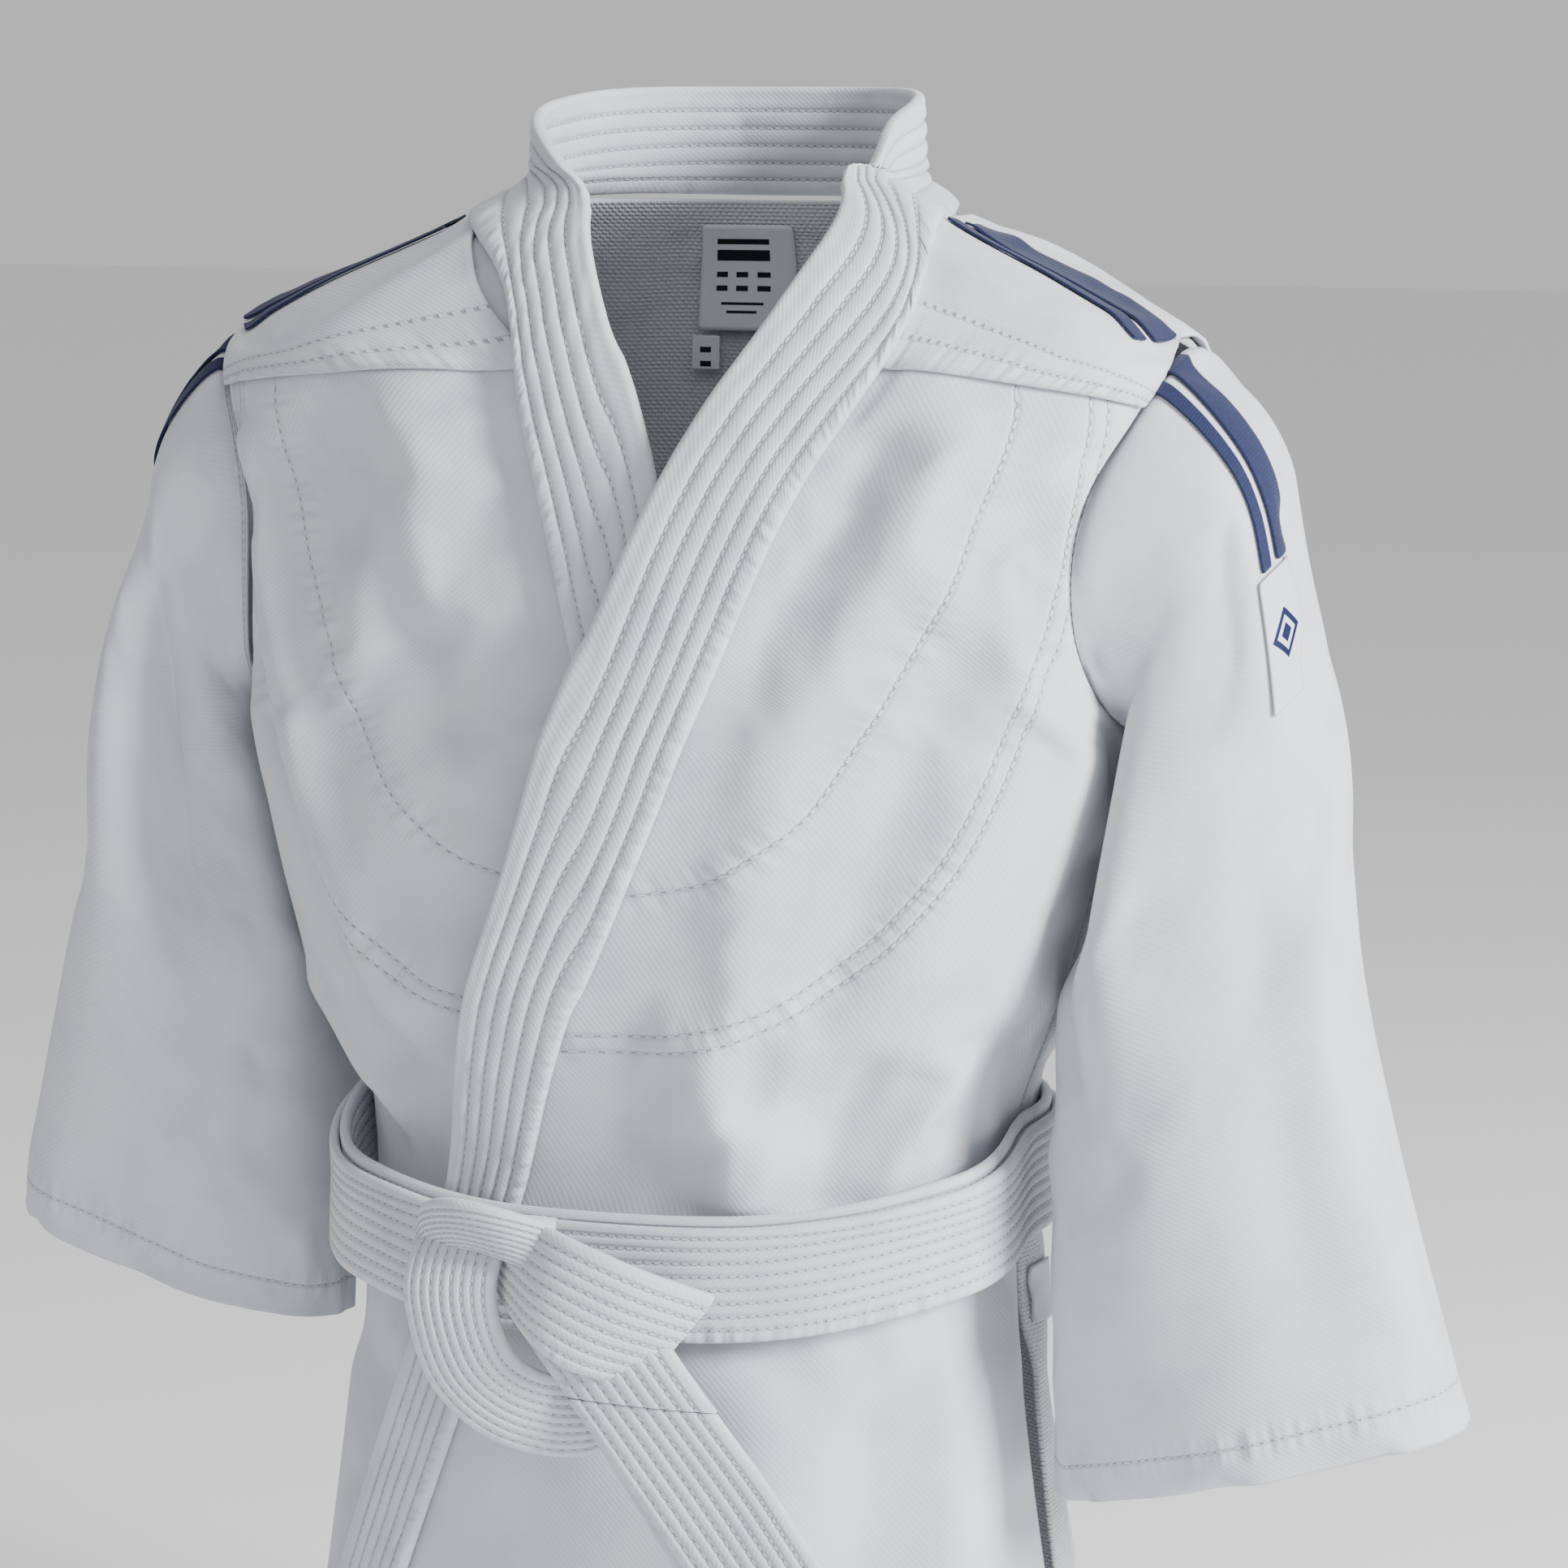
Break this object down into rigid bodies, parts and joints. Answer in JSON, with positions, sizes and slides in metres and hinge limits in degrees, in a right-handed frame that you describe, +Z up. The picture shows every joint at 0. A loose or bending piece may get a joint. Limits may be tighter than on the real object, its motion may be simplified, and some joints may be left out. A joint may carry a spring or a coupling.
{
  "type": "martial arts uniform",
  "caption": "Child's wrapped cotton judo-style jacket with quilted lapels, wide sleeves, vented skirt and a tied quilted belt with hanging ends.",
  "frame": {"origin": "middle of the neck opening, at the level of the collar seam", "axes": "+Z up along the wearer's body, -Y the way the wearer faces, +X the wearer's left"},
  "size_m": [0.5351, 0.2461, 0.6021],
  "materials": {
    "jacket_cotton": "bleached cotton twill",
    "lapel_padding": "unbleached cotton padding",
    "belt_cotton": "quilted cotton",
    "navy_tape": "woven tape",
    "woven_label": "satin weave"
  },
  "bodies": {
    "jacket": {"back_panel": "jacket_cotton", "front_panel_left": "jacket_cotton", "shoulder_yoke_left": "jacket_cotton", "chest_reinforcement_left": "jacket_cotton", "lapel_cover_left": "jacket_cotton", "lapel_core_left": "lapel_padding", "front_panel_right": "jacket_cotton", "shoulder_yoke_right": "jacket_cotton", "chest_reinforcement_right": "jacket_cotton", "lapel_cover_right": "jacket_cotton", "lapel_core_right": "lapel_padding", "collar_cover_back": "jacket_cotton", "collar_core_back": "lapel_padding", "neck_label": "navy_tape", "size_tab": "woven_label", "belt_inner_turn": "belt_cotton", "belt_outer_turn": "belt_cotton", "belt_knot_loop": "belt_cotton", "belt_knot_cap": "belt_cotton", "belt_knot_lobe": "belt_cotton", "shoulder_tape_broad_left": "navy_tape", "shoulder_tape_narrow_left": "navy_tape", "shoulder_tape_broad_right": "navy_tape", "shoulder_tape_narrow_right": "navy_tape"},
    "sleeve_left_body": {"sleeve_left": "jacket_cotton", "sleeve_hem_facing_left": "jacket_cotton", "underarm_gusset_left": "jacket_cotton", "sleeve_tape_broad_left": "navy_tape", "sleeve_tape_narrow_left": "navy_tape", "sleeve_patch": "woven_label"},
    "sleeve_right_body": {"sleeve_right": "jacket_cotton", "sleeve_hem_facing_right": "jacket_cotton", "underarm_gusset_right": "jacket_cotton", "sleeve_tape_broad_right": "navy_tape", "sleeve_tape_narrow_right": "navy_tape"},
    "outer_front_skirt": {"skirt_front_left": "jacket_cotton", "skirt_hem_facing_left": "jacket_cotton", "skirt_lapel_left": "jacket_cotton"},
    "inner_front_skirt": {"skirt_front_right": "jacket_cotton", "skirt_hem_facing_right": "jacket_cotton", "skirt_lapel_right": "jacket_cotton"},
    "back_skirt": {"skirt_back": "jacket_cotton", "skirt_hem_facing_back": "jacket_cotton", "vent_tab_left": "jacket_cotton", "vent_tab_right": "jacket_cotton"},
    "rear_belt_tail": {"belt_tail_rear": "belt_cotton"},
    "front_belt_tail": {"belt_tail_front": "belt_cotton"}
  },
  "joints": [
    {"name": "left_sleeve_raise", "type": "hinge", "parent": "jacket", "child": "sleeve_left_body", "pos_m": [0.1765, 0.01, -0.0415], "axis": [0, -1, 0], "range_deg": [0, 75]},
    {"name": "right_sleeve_raise", "type": "hinge", "parent": "jacket", "child": "sleeve_right_body", "pos_m": [-0.1765, 0.01, -0.0415], "axis": [0, 1, 0], "range_deg": [0, 75]},
    {"name": "outer_front_skirt_swing", "type": "hinge", "parent": "jacket", "child": "outer_front_skirt", "pos_m": [0, -0.074, -0.378], "axis": [-1, 0, 0], "range_deg": [0, 12]},
    {"name": "inner_front_skirt_swing", "type": "hinge", "parent": "jacket", "child": "inner_front_skirt", "pos_m": [0, -0.074, -0.378], "axis": [-1, 0, 0], "range_deg": [0, 12]},
    {"name": "back_skirt_swing", "type": "hinge", "parent": "jacket", "child": "back_skirt", "pos_m": [0, 0.062, -0.356], "axis": [1, 0, 0], "range_deg": [0, 18]},
    {"name": "rear_tail_swing", "type": "hinge", "parent": "outer_front_skirt", "child": "rear_belt_tail", "pos_m": [0.028, -0.1155, -0.38], "axis": [-1, 0, 0], "range_deg": [0, 45]},
    {"name": "front_tail_swing", "type": "hinge", "parent": "rear_belt_tail", "child": "front_belt_tail", "pos_m": [0.038, -0.1245, -0.379], "axis": [-1, 0, 0], "range_deg": [0, 40]}
  ],
  "couplings": [
    {"joint": "inner_front_skirt_swing", "follows": "outer_front_skirt_swing", "ratio": 1}
  ]
}
